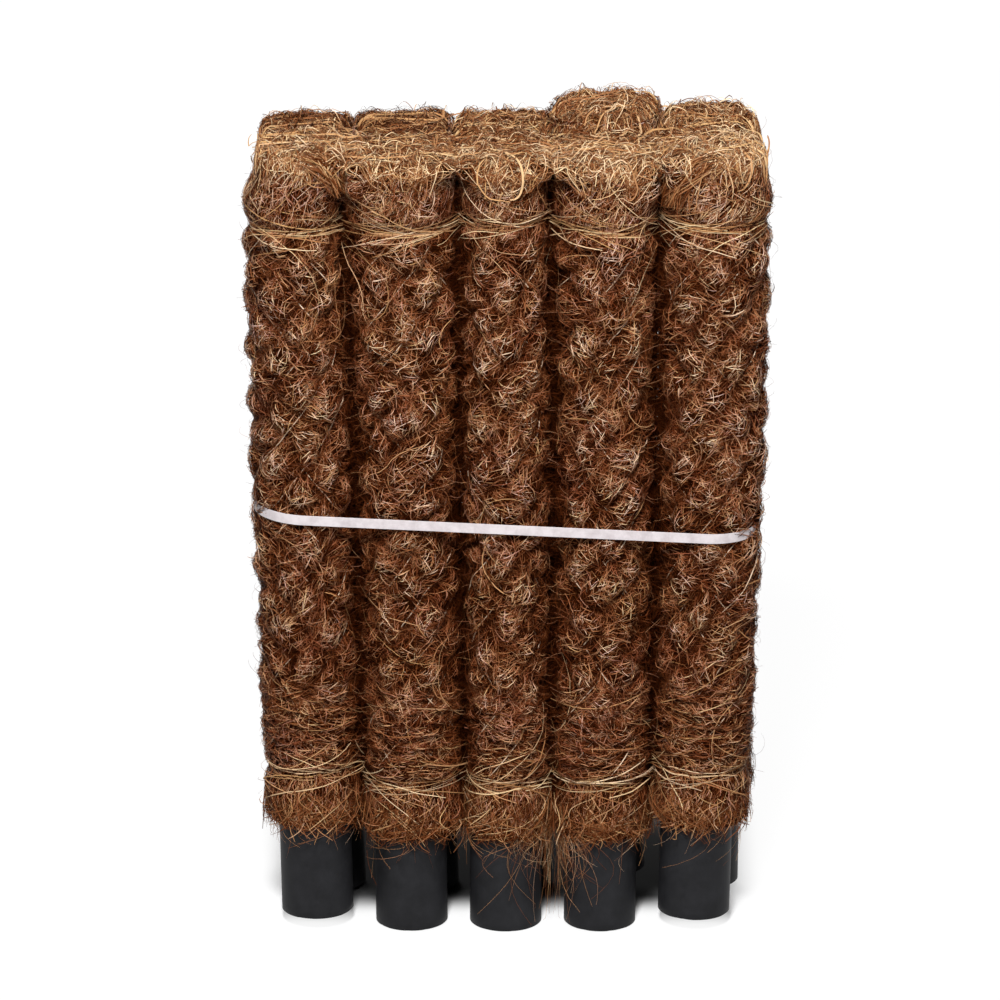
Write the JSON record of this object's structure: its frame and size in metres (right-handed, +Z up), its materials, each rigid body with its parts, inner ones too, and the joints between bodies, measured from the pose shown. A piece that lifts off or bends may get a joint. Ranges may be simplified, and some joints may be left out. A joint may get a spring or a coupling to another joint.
{
  "type": "moss pole pack",
  "caption": "Coir-wrapped plastic moss poles with bare pipe feet, standing in two rows and held by one flat plastic strap; each pole draws up out of the strap.",
  "frame": {"origin": "on the floor under the middle of the pack", "axes": "+Z up along the poles, +X along the rows to the right as seen from the front, +Y from the front row to the back row"},
  "size_m": [0.2582, 0.1038, 0.416],
  "materials": {
    "coir": "matte",
    "black_plastic": "satin",
    "clear_thread": "gloss",
    "white_plastic": "satin"
  },
  "bodies": {
    "strap": {"strap": "white_plastic"},
    "front_pole_1": {"front_pole_1_pipe": "black_plastic", "front_pole_1_coir_wrap": "coir", "front_pole_1_binding_thread": "clear_thread"},
    "front_pole_2": {"front_pole_2_pipe": "black_plastic", "front_pole_2_coir_wrap": "coir", "front_pole_2_binding_thread": "clear_thread"},
    "front_pole_3": {"front_pole_3_pipe": "black_plastic", "front_pole_3_coir_wrap": "coir", "front_pole_3_binding_thread": "clear_thread"},
    "front_pole_4": {"front_pole_4_pipe": "black_plastic", "front_pole_4_coir_wrap": "coir", "front_pole_4_binding_thread": "clear_thread"},
    "front_pole_5": {"front_pole_5_pipe": "black_plastic", "front_pole_5_coir_wrap": "coir", "front_pole_5_binding_thread": "clear_thread"},
    "back_pole_1": {"back_pole_1_pipe": "black_plastic", "back_pole_1_coir_wrap": "coir", "back_pole_1_binding_thread": "clear_thread"},
    "back_pole_2": {"back_pole_2_pipe": "black_plastic", "back_pole_2_coir_wrap": "coir", "back_pole_2_binding_thread": "clear_thread"},
    "back_pole_3": {"back_pole_3_pipe": "black_plastic", "back_pole_3_coir_wrap": "coir", "back_pole_3_binding_thread": "clear_thread"},
    "back_pole_4": {"back_pole_4_pipe": "black_plastic", "back_pole_4_coir_wrap": "coir", "back_pole_4_binding_thread": "clear_thread"},
    "back_pole_5": {"back_pole_5_pipe": "black_plastic", "back_pole_5_coir_wrap": "coir", "back_pole_5_binding_thread": "clear_thread"}
  },
  "joints": [
    {"name": "front_pole_1_draw", "type": "slide", "parent": "strap", "child": "front_pole_1", "axis": [-0.023, 0, 0.9997], "range_m": [0, 0.42]},
    {"name": "front_pole_2_draw", "type": "slide", "parent": "strap", "child": "front_pole_2", "axis": [-0.0115, 0, 0.9999], "range_m": [0, 0.42]},
    {"name": "front_pole_3_draw", "type": "slide", "parent": "strap", "child": "front_pole_3", "axis": [0, 0, 1], "range_m": [0, 0.42]},
    {"name": "front_pole_4_draw", "type": "slide", "parent": "strap", "child": "front_pole_4", "axis": [0.0115, 0, 0.9999], "range_m": [0, 0.42]},
    {"name": "front_pole_5_draw", "type": "slide", "parent": "strap", "child": "front_pole_5", "axis": [0.023, 0, 0.9997], "range_m": [0, 0.42]},
    {"name": "back_pole_1_draw", "type": "slide", "parent": "strap", "child": "back_pole_1", "axis": [-0.0355, 0, 0.9994], "range_m": [0, 0.42]},
    {"name": "back_pole_2_draw", "type": "slide", "parent": "strap", "child": "back_pole_2", "axis": [-0.024, 0, 0.9997], "range_m": [0, 0.42]},
    {"name": "back_pole_3_draw", "type": "slide", "parent": "strap", "child": "back_pole_3", "axis": [-0.0125, 0, 0.9999], "range_m": [0, 0.42]},
    {"name": "back_pole_4_draw", "type": "slide", "parent": "strap", "child": "back_pole_4", "axis": [-0.001, 0, 1], "range_m": [0, 0.42]},
    {"name": "back_pole_5_draw", "type": "slide", "parent": "strap", "child": "back_pole_5", "axis": [0.0105, 0, 0.9999], "range_m": [0, 0.42]}
  ]
}
